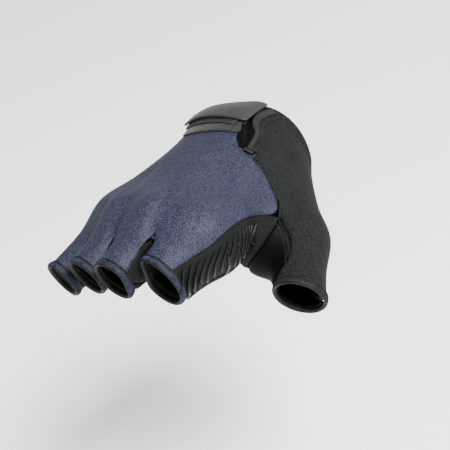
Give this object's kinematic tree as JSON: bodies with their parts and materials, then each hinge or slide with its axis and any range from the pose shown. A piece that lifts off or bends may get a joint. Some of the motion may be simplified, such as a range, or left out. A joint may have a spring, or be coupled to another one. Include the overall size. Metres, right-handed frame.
{
  "type": "cycling glove",
  "caption": "Fingerless right-hand cycling glove in its worn shape, with stretch back, grip palm, knit thumb, overlocked finger hems and a wrist strap.",
  "frame": {"origin": "centre of the wrist opening, in the plane of the wrist edge", "axes": "-Y runs from the wrist towards the fingertips, +Z is the back of the hand and +X the thumb side"},
  "size_m": [0.1282, 0.1305, 0.0775],
  "materials": {
    "stretch_fabric": "fine navy stretch weave, faint sheen",
    "thumb_knit": "matt black knit",
    "palm_leather": "matt black synthetic leather",
    "gusset_fabric": "smooth black elastic fabric",
    "strip_fabric": "thin black mesh",
    "edge_tape": "folded elastic tape",
    "hem_thread": "dense overlock stitching",
    "loop_pile": "brushed loop pile",
    "hook_tape": "fine hook field",
    "strap_fabric": "smooth flat strap, left plain",
    "grip_silicone": "glossy raised silicone"
  },
  "bodies": {
    "root": {"back_panel": "stretch_fabric", "bar_tack": "hem_thread", "closure_strap": "strap_fabric", "grip_rib_01": "grip_silicone", "grip_rib_02": "grip_silicone", "grip_rib_03": "grip_silicone", "grip_rib_04": "grip_silicone", "grip_rib_05": "grip_silicone", "grip_rib_06": "grip_silicone", "grip_rib_07": "grip_silicone", "grip_rib_08": "grip_silicone", "grip_rib_09": "grip_silicone", "hem_index": "hem_thread", "hem_little": "hem_thread", "hem_middle": "hem_thread", "hem_ring": "hem_thread", "hem_thumb": "hem_thread", "hook_pad": "hook_tape", "loop_patch": "loop_pile", "palm_panel": "palm_leather", "side_strip_little_ring": "strip_fabric", "side_strip_middle_index": "strip_fabric", "side_strip_ring_middle": "strip_fabric", "slit_binding": "edge_tape", "slit_gusset": "gusset_fabric", "thumb_gusset": "gusset_fabric", "thumb_panel": "thumb_knit", "wrist_binding": "edge_tape"}
  },
  "joints": []
}
